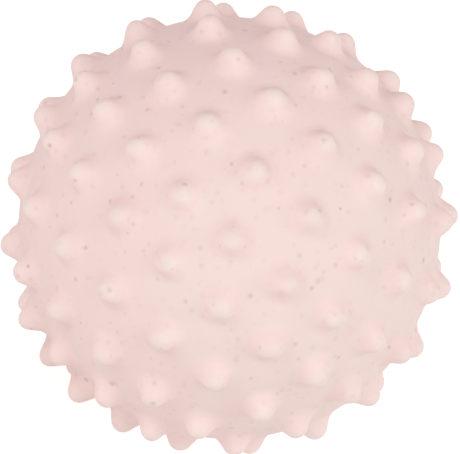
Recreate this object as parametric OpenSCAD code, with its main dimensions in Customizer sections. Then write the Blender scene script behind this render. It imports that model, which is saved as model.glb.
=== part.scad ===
// Bumpy sensory ball: two moulded rubber half shells, lapped and cemented at the equator,
// with a self-sealing needle valve at the lower pole. The poles lie on Z, and the origin is the ball's centre.

/* [Ball] */
// Diameter across the tips of the full-height bumps
tip_d = 90; // [80:1:120]
// Thickness of the rubber wall under the bumps
wall = 3.2; // [2.4:0.1:4.5]

/* [Bumps] */
// Height of a full bump above the skin
bump_h = 3.7; // [2.8:0.1:4.6]
// Radius of a bump's round tip
cap_r = 2.35; // [1.8:0.05:2.8]
// Slope of a bump's flank, in degrees
flank_slope = 57; // [50:1:64]
// Radius of the hollow blend at a bump's foot
foot_r = 3.3; // [2.2:0.1:3.8]

/* [Seam] */
// Height of the lower shell's tongue inside the upper shell
lap_h = 3; // [2:0.1:5]
// Cement film between the tongue and the upper shell
bond_gap = 0.05; // [0.02:0.01:0.15]

/* [Valve] */
// Radius of the bore that guides the pump needle
needle_r = 1.05; // [0.9:0.05:1.3]
// Length of the bore that guides the pump needle
guide_l = 3; // [2:0.5:4]
// Radius of the funnel's mouth round the needle bore
mouth_r = 1.9; // [1.5:0.1:2.6]
// Depth of the funnel
mouth_h = 0.7; // [0.4:0.1:1.2]
// Radius of the sleeve's barrel
sleeve_r = 3.6; // [3.2:0.1:4.4]
// Depth of the sleeve's nose below the skin
nose_sink = 0.3; // [0.1:0.1:0.8]
// Radius of the sleeve's flange inside the ball
flange_r = 6.4; // [5.5:0.1:8]
// Thickness of the sleeve's flange
flange_t = 1.4; // [1:0.1:2.5]
// Rubber left round the flange on the boss
boss_rim = 1.8; // [1:0.1:3]
// Height of the boss above the inside of the wall
boss_h = 4.5; // [3:0.5:7]
// Radius of the self-sealing core's stem
core_r = 2.3; // [1.9:0.1:2.8]
// Clearance of the core's stem in the sleeve
core_gap = 0.03; // [0.01:0.01:0.08]
// Radius of the core's head
head_r = 3.6; // [3.2:0.1:5]
// Thickness of the core's head
head_t = 1.2; // [0.8:0.1:2]

/* [Hidden] */
$fn = 96;

// The ball
tip_r = tip_d / 2;
skin_r = tip_r - bump_h;
inner_r = skin_r - wall;
lap_r = skin_r - wall / 2;
overrun = 0.5;
room_r = tip_r + bump_h;

// Rings of bumps from the pole to the equator, the same count in both halves
ring_counts = [5, 10, 15, 18, 20];
// Angle of each ring from its pole, as shares of a quarter turn
upper_ring_shares = [0.149, 0.321, 0.52, 0.725, 0.917];
lower_ring_shares = [0.148, 0.312, 0.51, 0.715, 0.909];
// Turn of each ring about the pole, as shares of its own step
upper_turn_shares = [0.845, 0.06, 0.49, 0.27, 0.16];
lower_turn_shares = [0.65, 0.78, 0.06, 0.805, 0.655];
// Height of each ring's bumps, as shares of a full bump
upper_height_shares = [0.9, 0.92, 1, 1, 1];
lower_height_shares = [1.17, 1.02, 1, 1, 1];

// A bump's profile: the flank crosses the tip and the foot a hair inside their tangents
crease = 0.03;
// Angle between the foot's blend and the skin, and the most of a bump's height that the blend takes
foot_angle = 15;
foot_height_share = 0.9;
root_depth = wall / 2;
flank_down = [cos(flank_slope), -sin(flank_slope)];
flank_out = [sin(flank_slope), cos(flank_slope)];

// The valve, along Z at the lower pole
nose_z = -(skin_r - nose_sink);
boss_z = -(inner_r - boss_h);
boss_r = flange_r + boss_rim;
sleeve_end_z = boss_z + flange_t;
guide_end_z = nose_z + mouth_h + guide_l;

shell_colour = [0.93, 0.82, 0.79];
sleeve_colour = [0.9, 0.86, 0.8];
core_colour = [0.72, 0.62, 0.56];

// Radius of the foot's blend on a bump of height h, limited by the height left under the round tip
function foot_radius(h) =
    min(foot_r, foot_height_share * (h - cap_r * (1 - cos(flank_slope))) / (1 - cos(flank_slope)));

// One bump on the +Z axis, rooted in the wall. The blend's centre slides down the flank's line
// to where its circle meets the skin at foot_angle.
module bump(h) {
    foot = foot_radius(h);
    cap_centre = [0, skin_r + h - cap_r];
    flank_top = cap_centre + (cap_r - crease) * flank_out;
    blend_start = flank_top + (foot - crease) * flank_out;
    blend_reach = skin_r * skin_r + foot * foot + 2 * skin_r * foot * cos(foot_angle);
    drop = blend_start * flank_down;
    slide = -drop - sqrt(drop * drop - blend_start * blend_start + blend_reach);
    blend_centre = blend_start + slide * flank_down;
    flank_end = flank_top + slide * flank_down;
    foot_edge = blend_centre * (1 - foot / norm(blend_centre));
    root_z = foot_edge[1] - root_depth;
    rotate_extrude() {
        difference() {
            polygon([
                [0, root_z],
                [foot_edge[0], root_z],
                [foot_edge[0], foot_edge[1] + overrun],
                flank_end,
                flank_top,
                [0, flank_top[1]]
            ]);
            translate(blend_centre) circle(foot);
        }
        intersection() {
            translate(cap_centre) circle(cap_r);
            square(cap_centre[1] + cap_r);
        }
    }
}

// The bumps of one half, about the +Z pole
module bumps(ring_shares, turn_shares, height_shares) {
    for (k = [0 : len(ring_counts) - 1], i = [0 : ring_counts[k] - 1])
        rotate([0, 90 * ring_shares[k], 360 * (i + turn_shares[k]) / ring_counts[k]])
            bump(bump_h * height_shares[k]);
}

module upper_half_shell() {
    color(shell_colour)
    difference() {
        intersection() {
            union() {
                sphere(skin_r);
                bumps(upper_ring_shares, upper_turn_shares, upper_height_shares);
            }
            cylinder(r = room_r, h = room_r);
        }
        sphere(inner_r);
        translate([0, 0, -overrun]) cylinder(r = lap_r, h = lap_h + overrun);
    }
}

module lower_half_shell() {
    color(shell_colour)
    difference() {
        union() {
            difference() {
                intersection() {
                    union() {
                        sphere(skin_r);
                        mirror([0, 0, 1])
                            bumps(lower_ring_shares, lower_turn_shares, lower_height_shares);
                    }
                    union() {
                        translate([0, 0, -room_r]) cylinder(r = room_r, h = room_r);
                        translate([0, 0, -overrun])
                            cylinder(r = lap_r - bond_gap, h = lap_h + overrun);
                    }
                }
                sphere(inner_r);
            }
            translate([0, 0, -lap_r]) cylinder(r = boss_r, h = lap_r + boss_z);
        }
        translate([0, 0, -tip_r]) cylinder(r = sleeve_r, h = tip_r);
    }
}

module valve_sleeve() {
    color(sleeve_colour)
    difference() {
        union() {
            translate([0, 0, nose_z]) cylinder(r = sleeve_r, h = sleeve_end_z - nose_z);
            translate([0, 0, boss_z]) cylinder(r = flange_r, h = flange_t);
        }
        translate([0, 0, nose_z]) cylinder(r1 = mouth_r, r2 = needle_r, h = mouth_h);
        translate([0, 0, nose_z]) cylinder(r = needle_r, h = guide_end_z - nose_z + overrun);
        translate([0, 0, guide_end_z])
            cylinder(r = core_r + core_gap, h = sleeve_end_z - guide_end_z + overrun);
    }
}

module valve_core() {
    color(core_colour) {
        translate([0, 0, guide_end_z]) cylinder(r = core_r, h = sleeve_end_z - guide_end_z);
        translate([0, 0, sleeve_end_z]) cylinder(r = head_r, h = head_t);
    }
}

upper_half_shell();
lower_half_shell();
valve_sleeve();
valve_core();
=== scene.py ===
# Sensory ball: two bumpy half shells of pale pink rubber with a needle valve, seen as in the photograph
import math

import bmesh
import bpy
from mathutils import Matrix, Vector


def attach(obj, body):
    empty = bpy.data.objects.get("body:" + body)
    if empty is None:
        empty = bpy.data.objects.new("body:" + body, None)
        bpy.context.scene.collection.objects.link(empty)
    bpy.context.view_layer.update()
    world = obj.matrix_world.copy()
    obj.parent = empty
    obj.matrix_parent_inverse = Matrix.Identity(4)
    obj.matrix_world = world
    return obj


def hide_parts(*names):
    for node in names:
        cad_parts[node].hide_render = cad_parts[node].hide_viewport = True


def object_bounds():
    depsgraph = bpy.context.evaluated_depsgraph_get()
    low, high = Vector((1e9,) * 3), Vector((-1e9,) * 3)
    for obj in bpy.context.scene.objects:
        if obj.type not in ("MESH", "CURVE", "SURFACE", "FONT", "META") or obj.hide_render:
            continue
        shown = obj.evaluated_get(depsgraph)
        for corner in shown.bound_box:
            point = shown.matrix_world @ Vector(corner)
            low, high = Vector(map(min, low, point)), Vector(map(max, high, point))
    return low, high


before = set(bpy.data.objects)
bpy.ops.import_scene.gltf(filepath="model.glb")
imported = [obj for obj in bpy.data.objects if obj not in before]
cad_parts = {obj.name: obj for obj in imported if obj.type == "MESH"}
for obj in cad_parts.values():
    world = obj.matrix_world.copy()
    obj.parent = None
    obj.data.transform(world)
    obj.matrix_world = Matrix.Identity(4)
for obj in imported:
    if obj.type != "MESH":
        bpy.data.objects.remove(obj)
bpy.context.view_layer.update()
print("frame loaded:", ", ".join(sorted(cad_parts)))

mm = 0.001
quarterTurn = math.pi / 2
fullTurn = 2 * math.pi

# The camera: the lower pole points to the lower left, as in the photograph
photo = {
    "size": (460, 454),  # pixels
    "distance": 1.6,  # metres
    "elevation": 9.15,  # degrees that the camera looks down
    "roll": 41.0,  # degrees that the poles' axis leans to the right
    "ballCentre": (229.2, 227.7),  # pixels from the upper left corner
    "tipPixels": 229.6,  # from the ball's centre to a bump's tip
    "sensor": 36,  # mm
    "clipEnd": 30,  # metres
}

# The ball, in millimetres, degrees and shares, as the solids have it
ball = {
    "tipRadius": 45.0,
    "bumpHeight": 3.7,
    "wall": 3.2,
    "capRadius": 2.35,
    "flankSlope": 57,
    "footRadius": 3.3,
    "lapHeight": 3.0,
    "bondGap": 0.05,
    "ringCounts": (5, 10, 15, 18, 20),
    "upperRingShares": (0.149, 0.321, 0.52, 0.725, 0.917),
    "lowerRingShares": (0.148, 0.312, 0.51, 0.715, 0.909),
    "upperTurnShares": (0.845, 0.06, 0.49, 0.27, 0.16),
    "lowerTurnShares": (0.65, 0.78, 0.06, 0.805, 0.655),
    "upperHeightShares": (0.9, 0.92, 1, 1, 1),
    "lowerHeightShares": (1.17, 1.02, 1, 1, 1),
}
skinRadius = ball["tipRadius"] - ball["bumpHeight"]
innerRadius = skinRadius - ball["wall"]
lapRadius = skinRadius - ball["wall"] / 2

# The valve at the lower pole, in millimetres
valve = {
    "sleeveRadius": 3.6,
    "noseSink": 0.3,
    "mouthRadius": 1.9,
    "mouthHeight": 0.7,
    "needleRadius": 1.05,
    "guideLength": 3.0,
    "flangeRadius": 6.4,
    "flangeThickness": 1.4,
    "bossRim": 1.8,
    "bossHeight": 4.5,
    "coreRadius": 2.3,
    "coreGap": 0.03,
    "headRadius": 3.6,
    "headThickness": 1.2,
    "edgeRounding": 0.2,
    "roundingSteps": 4,
    "shortSide": 2.2,  # a rounding takes at most one part in this of a side
    "sharpAngle": 50,  # degrees
    "segments": 80,
}
noseZ = -(skinRadius - valve["noseSink"])
bossZ = -(innerRadius - valve["bossHeight"])
bossRadius = valve["flangeRadius"] + valve["bossRim"]
sleeveEndZ = bossZ + valve["flangeThickness"]
guideEndZ = noseZ + valve["mouthHeight"] + valve["guideLength"]


def addObject(name, data):
    thing = bpy.data.objects.new(name, data)
    bpy.context.scene.collection.objects.link(thing)
    return thing


def makeCamera():
    elevation, roll = math.radians(photo["elevation"]), math.radians(photo["roll"])
    back = Vector((0, -math.cos(elevation), math.sin(elevation)))
    level = Vector((1, 0, 0))
    raised = back.cross(level)
    right = math.cos(roll) * level + math.sin(roll) * raised
    up = math.cos(roll) * raised - math.sin(roll) * level
    perPixel = ball["tipRadius"] * mm / photo["tipPixels"]
    width, height = photo["size"]
    x, y = photo["ballCentre"]
    aside = (right * (width / 2 - x) + up * (y - height / 2)) * perPixel
    camera = addObject("camera", bpy.data.cameras.new("camera"))
    camera.data.sensor_width = photo["sensor"]
    camera.data.lens = photo["sensor"] * photo["distance"] / (width * perPixel)
    camera.data.clip_end = photo["clipEnd"]
    turn = Matrix((right, up, back)).transposed()
    camera.matrix_world = Matrix.Translation(back * photo["distance"] + aside) @ turn.to_4x4()
    bpy.context.scene.camera = camera


makeCamera()
print("camera placed")


# Helpers for node trees

def newNode(tree, kind, **settings):
    node = tree.nodes.new(kind)
    for name, value in settings.items():
        setattr(node, name, value)
    return node


def plug(tree, source, target):
    # source is another node's output, or a plain value for the target's own socket
    if isinstance(source, bpy.types.NodeSocket):
        tree.links.new(source, target)
    else:
        target.default_value = source


def plugNamed(tree, node, **sources):
    for name, source in sources.items():
        plug(tree, source, node.inputs[name])


def socketInUse(sockets, name=None):
    # Some nodes have one socket for each kind of data, and use one of them
    return next(s for s in sockets if s.enabled and name in (None, s.name))


def doMath(tree, operation, *values, clamp=False):
    node = newNode(tree, "ShaderNodeMath", operation=operation, use_clamp=clamp)
    for value, socket in zip(values, node.inputs):
        plug(tree, value, socket)
    return node.outputs[0]


def doVector(tree, operation, *values):
    node = newNode(tree, "ShaderNodeVectorMath", operation=operation)
    for value, socket in zip(values, [s for s in node.inputs if s.enabled]):
        plug(tree, value, socket)
    return socketInUse(node.outputs)


def addSockets(tree, direction, **sockets):
    kinds = {"float": "NodeSocketFloat", "int": "NodeSocketInt", "vector": "NodeSocketVector",
             "geometry": "NodeSocketGeometry", "material": "NodeSocketMaterial"}
    return {name: tree.interface.new_socket(name=name, in_out=direction, socket_type=kinds[kind])
            for name, kind in sockets.items()}


def storeNumber(tree, geometry, name, value):
    # A number kept at each point, which other trees and materials read by its name
    store = newNode(tree, "GeometryNodeStoreNamedAttribute", data_type="FLOAT", domain="POINT")
    plugNamed(tree, store, Name=name, Geometry=geometry)
    plug(tree, value, socketInUse(store.inputs, "Value"))
    return store.outputs[0]


def endTree(tree, **results):
    plugNamed(tree, newNode(tree, "NodeGroupOutput"), **results)


# The skin with its bumps

skin = {
    "cells": 160,  # across a quarter turn
    "holeCells": 10,  # from the lower pole to the edge of the open square that the valve's hole fills
    "profileSteps": 24,
    "turnJitter": 0.16,  # mm that a bump may sit off its ring
    "heightJitter": 0.035,  # share of a bump's height
    "outlineWarp": 0.22,  # mm
    "outlineWarpSize": 5.5,  # mm across
    "waviness": 0.16,  # mm
    "wavinessSize": 26,  # mm across
    "seed": 11,
    # What is added to the seed for the bumps' heights, the lower half, the warp and the waviness
    "heightSeedStep": 50,
    "lowerSeedStep": 20,
    "warpSeedStep": 3,
    "wavinessSeedStep": 9,
    "noiseStretch": 4,  # noise is mostly from 1/4 to 3/4, so this stretches it to about -1 to 1
    "sharpAngle": 40,  # degrees
}


def bumpOutline():
    # A round tip, a straight flank and a hollow blend into the ball, all tangent to each other.
    # Points are shares: of the way out from the bump's axis, and of its height.
    slope = math.radians(ball["flankSlope"])
    cap, foot = ball["capRadius"], ball["footRadius"]
    down = Vector((math.cos(slope), -math.sin(slope)))
    out = Vector((math.sin(slope), math.cos(slope)))
    capCentre = Vector((0, skinRadius + ball["bumpHeight"] - cap))
    start = capCentre + (cap + foot) * out
    drop = start.dot(down)
    slide = -drop - math.sqrt(drop * drop - start.length_squared + (skinRadius + foot) ** 2)
    blendCentre = start + slide * down
    flankTop = capCentre + cap * out
    flankEnd = flankTop + slide * down
    reach = math.atan2(blendCentre.x, blendCentre.y)
    outline = []
    for i in range(skin["profileSteps"] + 1):
        angle = reach * i / skin["profileSteps"]
        ray = Vector((math.sin(angle), math.cos(angle)))
        if angle < math.atan2(flankTop.x, flankTop.y):
            along = ray.dot(capCentre)
            radius = along + math.sqrt(cap ** 2 - capCentre.length_squared + along ** 2)
        elif angle < math.atan2(flankEnd.x, flankEnd.y):
            radius = flankTop.dot(out) / ray.dot(out)
        else:
            along = ray.dot(blendCentre)
            radius = along - math.sqrt(max(foot ** 2 - blendCentre.length_squared + along ** 2, 0))
        outline.append((i / skin["profileSteps"], max(radius - skinRadius, 0) / ball["bumpHeight"]))
    return reach, outline


bumpReach, bumpShape = bumpOutline()  # in radians from the bump's axis, and in shares


def ringTree():
    # Points on the unit ball, one for each bump of a ring, with the bump's height as a share
    tree = bpy.data.node_groups.new("bumpRing", "GeometryNodeTree")
    addSockets(tree, "INPUT", Count="int", Polar="float", Turn="float", Height="float",
               Jitter="float", HeightJitter="float", Seed="int")
    addSockets(tree, "OUTPUT", Points="geometry")
    given = newNode(tree, "NodeGroupInput").outputs
    index = newNode(tree, "GeometryNodeInputIndex").outputs[0]
    steps = doMath(tree, "ADD", index, given["Turn"])
    turn = doMath(tree, "DIVIDE", doMath(tree, "MULTIPLY", steps, fullTurn), given["Count"])
    across = doMath(tree, "SINE", given["Polar"])
    place = newNode(tree, "ShaderNodeCombineXYZ")
    plugNamed(tree, place, X=doMath(tree, "MULTIPLY", across, doMath(tree, "COSINE", turn)),
              Y=doMath(tree, "MULTIPLY", across, doMath(tree, "SINE", turn)),
              Z=doMath(tree, "COSINE", given["Polar"]))
    drift = newNode(tree, "FunctionNodeRandomValue", data_type="FLOAT_VECTOR")
    plugNamed(tree, drift, Min=(-1, -1, -1), Max=(1, 1, 1), Seed=given["Seed"])
    moved = doVector(tree, "SCALE", drift.outputs["Value"], given["Jitter"])
    settled = doVector(tree, "NORMALIZE", doVector(tree, "ADD", place.outputs[0], moved))
    points = newNode(tree, "GeometryNodePoints")
    plugNamed(tree, points, Count=given["Count"], Position=settled)
    chance = newNode(tree, "FunctionNodeRandomValue", data_type="FLOAT")
    plug(tree, -1.0, socketInUse(chance.inputs, "Min"))
    plug(tree, 1.0, socketInUse(chance.inputs, "Max"))
    plugNamed(tree, chance, Seed=doMath(tree, "ADD", given["Seed"], skin["heightSeedStep"]))
    taller = doMath(tree, "MULTIPLY", socketInUse(chance.outputs), given["HeightJitter"])
    height = doMath(tree, "MULTIPLY_ADD", taller, given["Height"], given["Height"])
    endTree(tree, Points=storeNumber(tree, points.outputs[0], "bumpHeight", height))
    return tree


def bumpsTree(ring):
    # All the bumps of the ball, about both poles
    tree = bpy.data.node_groups.new("allBumps", "GeometryNodeTree")
    addSockets(tree, "INPUT", Jitter="float", HeightJitter="float", Seed="int")
    addSockets(tree, "OUTPUT", Points="geometry")
    given = newNode(tree, "NodeGroupInput").outputs
    join = newNode(tree, "GeometryNodeJoinGeometry")
    for half in ("lower", "upper"):
        for k, count in enumerate(ball["ringCounts"]):
            polar = quarterTurn * ball[half + "RingShares"][k]
            seedStep = k + (skin["lowerSeedStep"] if half == "lower" else 0)
            part = newNode(tree, "GeometryNodeGroup", node_tree=ring)
            plugNamed(tree, part, Count=count, Polar=polar if half == "upper" else math.pi - polar,
                      Turn=ball[half + "TurnShares"][k], Height=ball[half + "HeightShares"][k],
                      Jitter=given["Jitter"], HeightJitter=given["HeightJitter"],
                      Seed=doMath(tree, "ADD", given["Seed"], seedStep))
            plug(tree, part.outputs[0], join.inputs[0])
    endTree(tree, Points=join.outputs[0])
    return tree


def domeTree(bumps):
    # One half of the ball's skin: a rounded cube's open half, raised by the nearest bump
    tree = bpy.data.node_groups.new("bumpyDome", "GeometryNodeTree")
    sockets = addSockets(tree, "INPUT", Side="float", Cells="int", HoleCells="float", SkinRadius="float",
                         BumpHeight="float", BumpReach="float", Jitter="float", HeightJitter="float",
                         Warp="float", WarpSize="float", Waviness="float", WavinessSize="float",
                         Seed="int", Material="material")
    addSockets(tree, "OUTPUT", Geometry="geometry")
    given = newNode(tree, "NodeGroupInput").outputs

    # The cube's faces lie at -1 and 1. Those past the seam and the square round the hole are cut away.
    cube = newNode(tree, "GeometryNodeMeshCube")
    plug(tree, (2, 2, 2), cube.inputs["Size"])
    corners = doMath(tree, "ADD", given["Cells"], 1)
    for name in ("Vertices X", "Vertices Y", "Vertices Z"):
        plug(tree, corners, cube.inputs[name])
    place = newNode(tree, "GeometryNodeInputPosition").outputs[0]
    apart = newNode(tree, "ShaderNodeSeparateXYZ")
    plug(tree, place, apart.inputs[0])
    height = doMath(tree, "MULTIPLY", apart.outputs[2], given["Side"])
    beyond = doMath(tree, "LESS_THAN", height, 0)
    square = doMath(tree, "MAXIMUM", doMath(tree, "ABSOLUTE", apart.outputs[0]),
                    doMath(tree, "ABSOLUTE", apart.outputs[1]))
    holeWidth = doMath(tree, "DIVIDE", doMath(tree, "MULTIPLY", given["HoleCells"], 2), given["Cells"])
    justUnderTop = 0.999
    atPole = doMath(tree, "GREATER_THAN", height, justUnderTop)
    hole = doMath(tree, "MULTIPLY", atPole, doMath(tree, "LESS_THAN", square, holeWidth))
    cut = newNode(tree, "GeometryNodeDeleteGeometry", domain="FACE")
    plugNamed(tree, cut, Geometry=cube.outputs["Mesh"], Selection=doMath(tree, "MAXIMUM", beyond, hole))

    # Equal angles between the cube's grid lines, then onto the unit ball
    turned = doVector(tree, "MULTIPLY", place, (quarterTurn / 2,) * 3)
    even = doVector(tree, "NORMALIZE", doVector(tree, "TANGENT", turned))
    unitBall = newNode(tree, "GeometryNodeSetPosition")
    plugNamed(tree, unitBall, Geometry=cut.outputs[0], Position=even)

    # The nearest bump's centre and height
    bumpPoints = newNode(tree, "GeometryNodeGroup", node_tree=bumps)
    plugNamed(tree, bumpPoints, Jitter=doMath(tree, "DIVIDE", given["Jitter"], given["SkinRadius"]),
              HeightJitter=given["HeightJitter"], Seed=given["Seed"])
    nearest = newNode(tree, "GeometryNodeSampleNearest", domain="POINT")
    plug(tree, bumpPoints.outputs[0], nearest.inputs["Geometry"])
    plug(tree, place, nearest.inputs["Sample Position"])

    def fromNearest(kind, value):
        sample = newNode(tree, "GeometryNodeSampleIndex", data_type=kind, domain="POINT")
        plugNamed(tree, sample, Geometry=bumpPoints.outputs[0], Index=nearest.outputs[0])
        plug(tree, value, socketInUse(sample.inputs, "Value"))
        return socketInUse(sample.outputs)

    tall = newNode(tree, "GeometryNodeInputNamedAttribute", data_type="FLOAT")
    plug(tree, "bumpHeight", tall.inputs["Name"])
    tallest = fromNearest("FLOAT", socketInUse(tall.outputs, "Attribute"))
    centre = fromNearest("FLOAT_VECTOR", place)

    def wander(size, seedStep):
        # Smooth noise with waves of this size, in metres on the finished ball
        texture = newNode(tree, "ShaderNodeTexNoise", noise_dimensions="4D")
        plugNamed(tree, texture, Vector=place, W=doMath(tree, "ADD", given["Seed"], seedStep),
                  Scale=doMath(tree, "DIVIDE", given["SkinRadius"], size), Detail=1)
        return texture.outputs

    # How far each place lies from the bump's axis, slightly warped, and the height there
    stretch = skin["noiseStretch"]
    warp = doVector(tree, "MULTIPLY_ADD", wander(given["WarpSize"], skin["warpSeedStep"])["Color"],
                    (stretch,) * 3, (-stretch / 2,) * 3)
    warpReach = doMath(tree, "DIVIDE", given["Warp"], given["SkinRadius"])
    around = doVector(tree, "ADD", place, doVector(tree, "SCALE", warp, warpReach))
    away = doVector(tree, "DISTANCE", around, centre)
    share = doMath(tree, "DIVIDE", away, given["BumpReach"], clamp=True)
    curve = newNode(tree, "ShaderNodeFloatCurve")
    points = curve.mapping.curves[0].points
    for x, y in bumpShape[1:-1]:
        points.new(x, y)
    points[0].location = bumpShape[0]
    points[-1].location = bumpShape[-1]
    for point in points:
        point.handle_type = "AUTO"
    curve.mapping.update()
    plug(tree, share, curve.inputs["Value"])
    raised = doMath(tree, "MULTIPLY", doMath(tree, "MULTIPLY", curve.outputs[0], tallest),
                    given["BumpHeight"])
    wave = doMath(tree, "MULTIPLY_ADD", wander(given["WavinessSize"], skin["wavinessSeedStep"])[0],
                  stretch, -stretch / 2)
    uneven = doMath(tree, "MULTIPLY", wave, given["Waviness"])
    radius = doMath(tree, "ADD", doMath(tree, "ADD", given["SkinRadius"], raised), uneven)

    marked = storeNumber(tree, unitBall.outputs[0], "fromBump", share)
    relief = newNode(tree, "GeometryNodeSetPosition")
    plugNamed(tree, relief, Geometry=marked, Position=doVector(tree, "SCALE", place, radius))
    real = newNode(tree, "GeometryNodeRealizeInstances")
    plug(tree, relief.outputs[0], real.inputs[0])
    coat = newNode(tree, "GeometryNodeSetMaterial")
    plugNamed(tree, coat, Geometry=real.outputs[0], Material=given["Material"])
    endTree(tree, Geometry=coat.outputs[0])
    return tree, sockets


def growDome(tree, sockets, side, holeCells, material):
    # side is 1 for the upper half and -1 for the lower one
    maker = addObject("dome", bpy.data.meshes.new("dome"))
    modifier = maker.modifiers.new("dome", "NODES")
    modifier.node_group = tree
    # BumpReach is measured straight across the unit ball, all other lengths are in metres
    values = {
        "Side": float(side), "Cells": skin["cells"], "HoleCells": float(holeCells),
        "SkinRadius": skinRadius * mm, "BumpHeight": ball["bumpHeight"] * mm,
        "BumpReach": 2 * math.sin(bumpReach / 2), "Jitter": skin["turnJitter"] * mm,
        "HeightJitter": skin["heightJitter"], "Warp": skin["outlineWarp"] * mm,
        "WarpSize": skin["outlineWarpSize"] * mm, "Waviness": skin["waviness"] * mm,
        "WavinessSize": skin["wavinessSize"] * mm, "Seed": skin["seed"], "Material": material,
    }
    for name, value in values.items():
        modifier[sockets[name].identifier] = value
    evaluated = maker.evaluated_get(bpy.context.evaluated_depsgraph_get())
    mesh = bpy.data.meshes.new_from_object(evaluated)
    bpy.data.objects.remove(maker)
    return mesh


# Walls, laps and turned parts, added ring by ring

def openLoops(form):
    # The open edges of a mesh as rings of corners, each in order of angle about Z
    loose = {v for e in form.edges if e.is_boundary for v in e.verts}
    rings = []
    while loose:
        ring, ahead = set(), [loose.pop()]
        while ahead:
            corner = ahead.pop()
            ring.add(corner)
            near = {e.other_vert(corner) for e in corner.link_edges if e.is_boundary} - ring
            loose -= near
            ahead.extend(near - set(ahead))
        rings.append(sorted(ring, key=lambda v: math.atan2(v.co.y, v.co.x)))
    return rings


def addRing(form, like, radius, z, every=1):
    # A new ring of corners at the angles of another one, or of every so many of its corners
    ring = []
    for v in like[::every]:
        flat = Vector((v.co.x, v.co.y, 0)).normalized()
        ring.append(form.verts.new(flat * radius * mm + Vector((0, 0, z * mm))))
    return ring


def joinRings(form, first, second):
    # Faces between two rings, where one may have a whole number of times as many corners as the other
    fine, coarse = (first, second) if len(first) >= len(second) else (second, first)
    times = len(fine) // len(coarse)
    middle = times // 2
    for i, corner in enumerate(coarse):
        after = coarse[(i + 1) % len(coarse)]
        row = [fine[(i * times + j) % len(fine)] for j in range(times + 1)]
        if times == 1:
            form.faces.new((corner, after, row[1], row[0]))
            continue
        for j in range(times):
            form.faces.new((corner if j < middle else after, row[j + 1], row[j]))
        form.faces.new((corner, after, row[middle]))


def extend(form, last, radius, z, every=1):
    # One more ring of corners, joined to the last one
    ring = addRing(form, last, radius, z, every)
    joinRings(form, last, ring)
    return ring


def closePole(form, ring, z):
    tip = form.verts.new((0, 0, z * mm))
    for i, corner in enumerate(ring):
        form.faces.new((corner, ring[(i + 1) % len(ring)], tip))


def finishMesh(form, mesh, material, sharpAngle):
    bmesh.ops.recalc_face_normals(form, faces=form.faces)
    for face in form.faces:
        face.smooth = True
        face.material_index = 0
    form.to_mesh(mesh)
    form.free()
    mesh.materials.clear()
    mesh.materials.append(material)
    mesh.set_sharp_from_angle(angle=math.radians(sharpAngle))


def placePiece(name, mesh, node):
    mesh.name = name
    piece = addObject(name, mesh)
    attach(piece, "root")
    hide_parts(node)
    print(f"{name}: {sum(len(p.vertices) - 2 for p in mesh.polygons)} triangles")


# The inside of the two half shells
inside = {
    "ringEvery": 4,  # skin corners for each corner of the inner wall
    "domeRings": 16,
    "lipRounding": 0.25,  # mm at the valve's hole
    "lipSteps": 3,
}


def addInnerWall(form, last, stop, endCorners=None):
    # Rings along the inner wall, from the lap's top to the angle stop from the seam's plane. The last
    # ring has endCorners corners, and is left out where the wall ends at a pole.
    start = math.asin(ball["lapHeight"] / innerRadius)
    steps = inside["domeRings"]
    for i in range(steps if endCorners is None else steps + 1):
        angle = start + (stop - start) * i / steps
        every = inside["ringEvery"] if i == 0 else len(last) // endCorners if i == steps else 1
        last = extend(form, last, innerRadius * math.cos(angle), innerRadius * math.sin(angle), every)
    return last


def makeUpperShell(tree, sockets, material):
    mesh = growDome(tree, sockets, 1, 0, material)
    form = bmesh.new()
    form.from_mesh(mesh)
    rim = openLoops(form)[0]
    lip = extend(form, rim, lapRadius, 0)
    ledge = extend(form, lip, lapRadius, ball["lapHeight"])
    last = addInnerWall(form, ledge, quarterTurn)
    closePole(form, last, innerRadius)
    finishMesh(form, mesh, material, skin["sharpAngle"])
    placePiece("upperHalfShell", mesh, "upper_half_shell")


def makeLowerShell(tree, sockets, material):
    mesh = growDome(tree, sockets, -1, skin["holeCells"], material)
    form = bmesh.new()
    form.from_mesh(mesh)
    hole, rim = sorted(openLoops(form), key=lambda ring: ring[0].co.z)

    # From the seam up the tongue and down the inner wall
    tongue = lapRadius - ball["bondGap"]
    lip = extend(form, rim, tongue, 0)
    top = extend(form, lip, tongue, ball["lapHeight"])
    last = addInnerWall(form, top, -math.acos(bossRadius / innerRadius), len(hole))

    # Over the boss and down the valve's hole to the skin
    rounding, sleeve = inside["lipRounding"], valve["sleeveRadius"]
    mouthZ = -math.sqrt(skinRadius ** 2 - sleeve ** 2)
    for radius, z in ((bossRadius, bossZ), (sleeve, bossZ), (sleeve, mouthZ + rounding)):
        last = extend(form, last, radius, z)
    for i in range(inside["lipSteps"]):
        turn = quarterTurn * ((i + 1) / inside["lipSteps"])
        last = extend(form, last, sleeve + rounding * (1 - math.cos(turn)),
                      mouthZ + rounding * (1 - math.sin(turn)))
    joinRings(form, last, hole)
    finishMesh(form, mesh, material, skin["sharpAngle"])
    placePiece("lowerHalfShell", mesh, "lower_half_shell")


def roundCorners(outline):
    # A closed outline with a short curve at each corner
    points = []
    steps = valve["roundingSteps"]
    for i, corner in enumerate(Vector(p) for p in outline):
        before = Vector(outline[i - 1]) - corner
        after = Vector(outline[(i + 1) % len(outline)]) - corner
        reach = min(valve["edgeRounding"], before.length / valve["shortSide"],
                    after.length / valve["shortSide"])
        first = corner + before.normalized() * reach
        last = corner + after.normalized() * reach
        for j in range(steps + 1):
            t = j / steps
            points.append((1 - t) ** 2 * first + 2 * t * (1 - t) * corner + t ** 2 * last)
    return points


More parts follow.
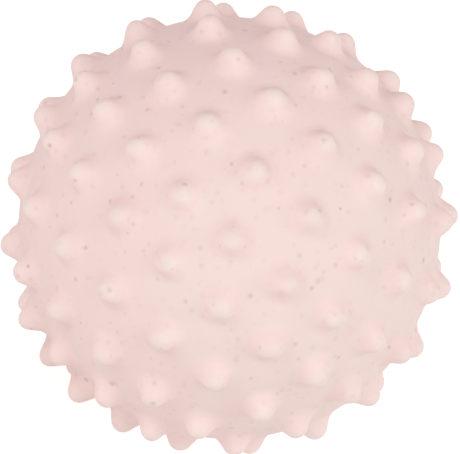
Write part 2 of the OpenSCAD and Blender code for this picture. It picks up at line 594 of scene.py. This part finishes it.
def turnedPiece(name, outline, closedOnAxis, material, node):
    # A lathe-turned form: the outline is (radius, z) in millimetres, run round the axis
    form = bmesh.new()
    around = [form.verts.new((math.cos(a), math.sin(a), 0))
              for a in (fullTurn * i / valve["segments"] for i in range(valve["segments"]))]
    rings = [addRing(form, around, radius, z) for radius, z in outline]
    for first, second in zip(rings, rings[1:]):
        joinRings(form, first, second)
    if closedOnAxis:
        closePole(form, rings[0], outline[0][1])
        closePole(form, rings[-1], outline[-1][1])
    else:
        joinRings(form, rings[-1], rings[0])
    for corner in around:
        form.verts.remove(corner)
    mesh = bpy.data.meshes.new(name)
    finishMesh(form, mesh, material, valve["sharpAngle"])
    placePiece(name, mesh, node)


def makeSleeve(material):
    chamber = valve["coreRadius"] + valve["coreGap"]
    outline = [
        (valve["mouthRadius"], noseZ),
        (valve["sleeveRadius"], noseZ),
        (valve["sleeveRadius"], bossZ),
        (valve["flangeRadius"], bossZ),
        (valve["flangeRadius"], sleeveEndZ),
        (chamber, sleeveEndZ),
        (chamber, guideEndZ),
        (valve["needleRadius"], guideEndZ),
        (valve["needleRadius"], noseZ + valve["mouthHeight"]),
    ]
    turnedPiece("valveSleeve", roundCorners(outline), False, material, "valve_sleeve")


def makeCore(material):
    headEndZ = sleeveEndZ + valve["headThickness"]
    outline = [
        (0, guideEndZ),
        (valve["coreRadius"], guideEndZ),
        (valve["coreRadius"], sleeveEndZ),
        (valve["headRadius"], sleeveEndZ),
        (valve["headRadius"], headEndZ),
        (0, headEndZ),
    ]
    # The points near the axis give way to the two poles
    soft = [p for p in roundCorners(outline) if p[0] > valve["edgeRounding"]]
    turnedPiece("valveCore", soft, True, material, "valve_core")


# Materials, with lengths in millimetres. A noise is its size, its detail and its roughness.

# The form of flecks and grit, in shares of the size that a material asks for
fleckForm = {
    "raggedWaves": 1.6,  # waves of the ragged edge in a grain's size
    "raggedDetail": 2,
    "raggedPull": 1.5,
    "leastSize": 0.45,
    "sizeRange": 0.8,
    "leastStrength": 0.22,
    "strengthRange": 0.46,
    "strengthPower": 2.6,  # the higher it is, the fewer grains are strong
}

# The two half shells. Round each bump the colours are partly painted light: pinker, lighter feet and
# lighter flanks stand in for light scattered through the rubber into their shade, and the creamier tips
# are partly the rubber's own colour and partly painted light.
shellRubber = {
    "base": (0.873, 0.700, 0.662),
    # Painted light: the feet round each bump are painted pinker and lighter, for red light scattered
    # through the rubber into their shade
    "foot": (0.911, 0.712, 0.675),
    # Painted light: the bumps' flanks are painted lighter, for light scattered inside the rubber that
    # lifts their shade
    "flank": (0.914, 0.743, 0.700),
    # The creamy tips are partly the rubber's own colour and partly painted light, for light scattered
    # through the thin domes
    "tip": (0.862, 0.735, 0.684),
    "footEdge": (4.4, 3.0),  # from a bump's axis to where each colour starts, and to where it is full
    "flankEdge": (3.2, 1.9),
    "tipEdge": (1.7, 0.3),
    "shade": (0.869, 0.675, 0.638),
    "cloud": (16, 2, 0.5),
    "cloudRange": (0.42, 0.68),
    "cloudStrength": 0.35,
    "mottle": (1.3, 4, 0.6),
    "mottleRange": (0.5, 0.8),
    "mottleStrength": 0.2,
    "buriedColour": (0.76, 0.50, 0.46),
    "buriedStrength": 0.54,
    "buriedFlecks": {"spacing": 2.0, "size": 0.46, "softness": 0.9, "share": 0.7, "shift": 7.3},
    "fleckColour": (0.60, 0.355, 0.325),
    "flecks": {"spacing": 2.1, "size": 0.38, "softness": 0.95, "share": 0.36, "shift": 1.7},
    "roughness": (0.65, 0.76),
    "roughnessRange": (0.3, 0.7),
    "gloss": 0.12,
    "grain": (0.55, 3, 0.55),
    "swell": (5, 2, 0.5),
    "swellStrength": 6,  # times the grain's height
    "grainStrength": 0.5,
    "grainDepth": 0.03,
}

# What the valve's two rubbers share, and their own colours
valveRubber = {
    "cloud": (2.2, 4, 0.6),
    "cloudRange": (0.35, 0.7),
    "grit": {"spacing": 1.6, "size": 0.12, "softness": 0.5, "share": 0.4, "shift": 4.1},
    "gritStrength": 0.4,
    "roughnessRange": (0.3, 0.7),
    "scatter": 0.1,
    "scatterDepth": 0.8,
    "grain": (0.3, 3, 0.5),
    "grainStrength": 0.4,
    "grainDepth": 0.02,
}
sleeveRubber = {"colour": (0.87, 0.76, 0.69), "darker": (0.81, 0.68, 0.61), "roughness": (0.44, 0.56)}
coreRubber = {"colour": (0.50, 0.34, 0.26), "darker": (0.42, 0.27, 0.20), "roughness": (0.54, 0.66)}


def newMaterial(name):
    material = bpy.data.materials.new(name)
    material.use_nodes = True
    tree = material.node_tree
    tree.nodes.clear()
    shader = newNode(tree, "ShaderNodeBsdfPrincipled")
    end = newNode(tree, "ShaderNodeOutputMaterial")
    plug(tree, shader.outputs[0], end.inputs["Surface"])
    return material, tree, shader


def mixColour(tree, mask, first, second):
    mix = newNode(tree, "ShaderNodeMix", data_type="RGBA")
    named = {s.identifier: s for s in mix.inputs}
    plug(tree, mask, named["Factor_Float"])
    for value, socket in ((first, named["A_Color"]), (second, named["B_Color"])):
        plug(tree, (*value, 1) if isinstance(value, tuple) else value, socket)
    return next(s for s in mix.outputs if s.identifier == "Result_Color")


def noiseTexture(tree, vector, size, detail, roughness):
    texture = newNode(tree, "ShaderNodeTexNoise")
    plugNamed(tree, texture, Vector=vector, Scale=1 / (size * mm), Detail=detail, Roughness=roughness)
    return texture.outputs[0]


def ease(tree, value, low, high, newLow=0.0, newHigh=1.0):
    node = newNode(tree, "ShaderNodeMapRange", interpolation_type="SMOOTHSTEP")
    plug(tree, value, node.inputs["Value"])
    for name, source in (("From Min", low), ("From Max", high), ("To Min", newLow), ("To Max", newHigh)):
        plug(tree, source, node.inputs[name])
    return node.outputs["Result"]


def fleckGroup():
    # Small uneven grains in the rubber: a mask that is strong in a few of them and faint in most
    tree = bpy.data.node_groups.new("rubberFlecks", "ShaderNodeTree")
    addSockets(tree, "INPUT", Vector="vector", Spacing="float", Size="float", Softness="float",
               Share="float", Shift="vector")
    addSockets(tree, "OUTPUT", Mask="float")
    given = newNode(tree, "NodeGroupInput").outputs

    # Ragged edges, then one grain to a cell
    ragged = newNode(tree, "ShaderNodeTexNoise")
    plugNamed(tree, ragged, Vector=given["Vector"], Detail=fleckForm["raggedDetail"],
              Scale=doMath(tree, "DIVIDE", fleckForm["raggedWaves"], given["Size"]))
    centred = doVector(tree, "SUBTRACT", ragged.outputs["Color"], (0.5,) * 3)  # noise lies about 0.5
    pullReach = doMath(tree, "MULTIPLY", given["Size"], fleckForm["raggedPull"])
    pull = doVector(tree, "SCALE", centred, pullReach)
    place = doVector(tree, "ADD", doVector(tree, "ADD", given["Vector"], pull), given["Shift"])
    cells = newNode(tree, "ShaderNodeTexVoronoi", voronoi_dimensions="3D", feature="F1")
    plugNamed(tree, cells, Vector=place, Scale=doMath(tree, "DIVIDE", 1, given["Spacing"]))
    away = doMath(tree, "MULTIPLY", cells.outputs["Distance"], given["Spacing"])

    # Each cell draws whether its grain is there, how big it is and how strong
    draw = newNode(tree, "ShaderNodeSeparateColor")
    plug(tree, cells.outputs["Color"], draw.inputs[0])
    kept = doMath(tree, "LESS_THAN", draw.outputs[0], given["Share"])
    size = doMath(tree, "MULTIPLY", given["Size"], doMath(
        tree, "MULTIPLY_ADD", draw.outputs[1], fleckForm["sizeRange"], fleckForm["leastSize"]))
    rare = doMath(tree, "POWER", draw.outputs[2], fleckForm["strengthPower"])
    strength = doMath(tree, "MULTIPLY_ADD", rare, fleckForm["strengthRange"], fleckForm["leastStrength"])
    soft = doMath(tree, "MULTIPLY", size, given["Softness"])
    fade = ease(tree, away, doMath(tree, "SUBTRACT", size, soft), doMath(tree, "ADD", size, soft), 1, 0)
    endTree(tree, Mask=doMath(tree, "MULTIPLY", doMath(tree, "MULTIPLY", fade, kept), strength))
    return tree


def fleckNode(tree, group, vector, flecks):
    # The shift gives each use of the group other cells
    node = newNode(tree, "ShaderNodeGroup", node_tree=group)
    shift = flecks["shift"] * mm
    plugNamed(tree, node, Vector=vector, Spacing=flecks["spacing"] * mm, Size=flecks["size"] * mm,
              Softness=flecks["softness"], Share=flecks["share"], Shift=(shift, 2 * shift, 3 * shift))
    return node.outputs["Mask"]


def addGrain(tree, shader, height, strength, depth):
    bump = newNode(tree, "ShaderNodeBump")
    plugNamed(tree, bump, Strength=strength, Distance=depth * mm, Height=height)
    plug(tree, bump.outputs[0], shader.inputs["Normal"])


def makeShellRubber(group):
    own = shellRubber
    material, tree, shader = newMaterial("palePinkRubber")
    vector = newNode(tree, "ShaderNodeTexCoord").outputs["Object"]
    away = newNode(tree, "ShaderNodeAttribute", attribute_name="fromBump").outputs["Fac"]
    reach = skinRadius * bumpReach
    colour = own["base"]
    # Painted light round each bump: the pinker, lighter feet and the lighter flanks stand in for light
    # scattered through the rubber into their shade, and the creamier tips are partly the rubber's own
    # colour and partly painted light.
    for band in ("foot", "flank", "tip"):
        mask = ease(tree, away, *(edge / reach for edge in own[band + "Edge"]))
        colour = mixColour(tree, mask, colour, own[band])

    # Slow cloudy patches, a finer mottle, and flecks under the surface and at it
    cloud = noiseTexture(tree, vector, *own["cloud"])
    mottle = noiseTexture(tree, vector, *own["mottle"])
    clouded = ease(tree, cloud, *own["cloudRange"], 0, own["cloudStrength"])
    colour = mixColour(tree, clouded, colour, own["shade"])
    mottled = ease(tree, mottle, *own["mottleRange"], 0, own["mottleStrength"])
    colour = mixColour(tree, mottled, colour, own["shade"])
    buried = doMath(tree, "MULTIPLY", fleckNode(tree, group, vector, own["buriedFlecks"]),
                    own["buriedStrength"])
    colour = mixColour(tree, buried, colour, own["buriedColour"])
    colour = mixColour(tree, fleckNode(tree, group, vector, own["flecks"]), colour, own["fleckColour"])
    plug(tree, colour, shader.inputs["Base Color"])

    plug(tree, ease(tree, mottle, *own["roughnessRange"], *own["roughness"]), shader.inputs["Roughness"])
    plug(tree, own["gloss"], shader.inputs["Specular IOR Level"])
    height = doMath(tree, "MULTIPLY_ADD", noiseTexture(tree, vector, *own["swell"]), own["swellStrength"],
                    noiseTexture(tree, vector, *own["grain"]))
    addGrain(tree, shader, height, own["grainStrength"], own["grainDepth"])
    return material


def makeValveRubber(name, own, group):
    shared = valveRubber
    material, tree, shader = newMaterial(name)
    vector = newNode(tree, "ShaderNodeTexCoord").outputs["Object"]
    cloud = noiseTexture(tree, vector, *shared["cloud"])
    colour = mixColour(tree, ease(tree, cloud, *shared["cloudRange"]), own["colour"], own["darker"])
    grit = doMath(tree, "MULTIPLY", fleckNode(tree, group, vector, shared["grit"]), shared["gritStrength"])
    plug(tree, mixColour(tree, grit, colour, own["darker"]), shader.inputs["Base Color"])
    plug(tree, ease(tree, cloud, *shared["roughnessRange"], *own["roughness"]), shader.inputs["Roughness"])
    plug(tree, shared["scatter"], shader.inputs["Subsurface Weight"])
    plug(tree, shared["scatterDepth"] * mm, shader.inputs["Subsurface Scale"])
    addGrain(tree, shader, noiseTexture(tree, vector, *shared["grain"]), shared["grainStrength"],
             shared["grainDepth"])
    return material


flecks = fleckGroup()
shellMaterial = makeShellRubber(flecks)
sleeveMaterial = makeValveRubber("creamRubber", sleeveRubber, flecks)
coreMaterial = makeValveRubber("tanRubber", coreRubber, flecks)
print("materials made")

dome, domeSockets = domeTree(bumpsTree(ringTree()))
makeUpperShell(dome, domeSockets, shellMaterial)
makeLowerShell(dome, domeSockets, shellMaterial)
makeSleeve(sleeveMaterial)
makeCore(coreMaterial)


# Studio: a glowing pale table, even surroundings and soft boxes, with lengths in metres

studio = {
    "tableWidth": 8.0,
    "tableColour": 0.4,
    "tableGlow": 0.549,
    "tableWhite": 0.233,  # extra glow that only the camera sees, for a white ground
    "surround": 0.581,
    "surroundTint": (1.0, 0.840, 0.874),
    "surroundSeen": 0.95,  # how pale the surround looks to the camera
    "boxSize": 0.9,
    "boxDistance": 1.4,
    # Each box: where it stands, seen from the ball, its power in watts and its colour
    "boxes": {
        "leftFrontBox": ((-0.57, -0.80, 0.17), 5.42, (0.91, 1.0, 1.0)),
        "rightFrontBox": ((0.43, -0.75, 0.50), 3.52, (0.81, 1.0, 0.958)),
        "rightBox": ((0.71, -0.24, 0.66), 4.14, (0.81, 1.0, 0.958)),
        "rightBackBox": ((0.60, 0.66, 0.45), 2.44, (0.846, 1.0, 0.981)),
        "backBox": ((-0.15, 0.97, 0.15), 3.4, (0.846, 1.0, 0.981)),
    },
}


def makeTable():
    half = studio["tableWidth"] / 2
    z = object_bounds()[0].z
    mesh = bpy.data.meshes.new("table")
    corners = [(-half, -half, z), (half, -half, z), (half, half, z), (-half, half, z)]
    mesh.from_pydata(corners, [], [(0, 1, 2, 3)])
    table = addObject("table", mesh)
    material, tree, shader = newMaterial("paleTable")
    plug(tree, (*(studio["tableColour"],) * 3, 1), shader.inputs["Base Color"])
    plug(tree, 1, shader.inputs["Roughness"])
    plug(tree, 0, shader.inputs["Specular IOR Level"])
    plug(tree, (1, 1, 1, 1), shader.inputs["Emission Color"])
    seen = newNode(tree, "ShaderNodeLightPath").outputs["Is Camera Ray"]
    plug(tree, doMath(tree, "MULTIPLY_ADD", seen, studio["tableWhite"], studio["tableGlow"]),
         shader.inputs["Emission Strength"])
    below = newNode(tree, "ShaderNodeNewGeometry").outputs["Backfacing"]  # the valve shows from underneath
    plug(tree, doMath(tree, "SUBTRACT", 1, below), shader.inputs["Alpha"])
    mesh.materials.append(material)


def makeSurround():
    world = bpy.data.worlds.new("surround")
    world.use_nodes = True
    tree = world.node_tree
    background = next(n for n in tree.nodes if n.type == "BACKGROUND")
    plug(tree, 1, background.inputs["Strength"])
    lit = tuple(studio["surround"] * share for share in studio["surroundTint"])
    seen = newNode(tree, "ShaderNodeLightPath").outputs["Is Camera Ray"]
    plug(tree, mixColour(tree, seen, lit, (studio["surroundSeen"],) * 3), background.inputs["Color"])
    bpy.context.scene.world = world


def makeSoftBox(name, aim, watts, colour):
    light = addObject(name, bpy.data.lights.new(name, "AREA"))
    light.data.shape = "DISK"
    light.data.size = studio["boxSize"]
    light.data.energy = watts
    light.data.color = colour
    direction = Vector(aim).normalized()
    light.location = direction * studio["boxDistance"]
    light.rotation_mode = "QUATERNION"
    light.rotation_quaternion = direction.to_track_quat("Z", "Y")
    light.visible_camera = False


makeTable()
makeSurround()
for name, settings in studio["boxes"].items():
    makeSoftBox(name, *settings)
bpy.context.scene.view_settings.view_transform = "Standard"
print("studio lit")
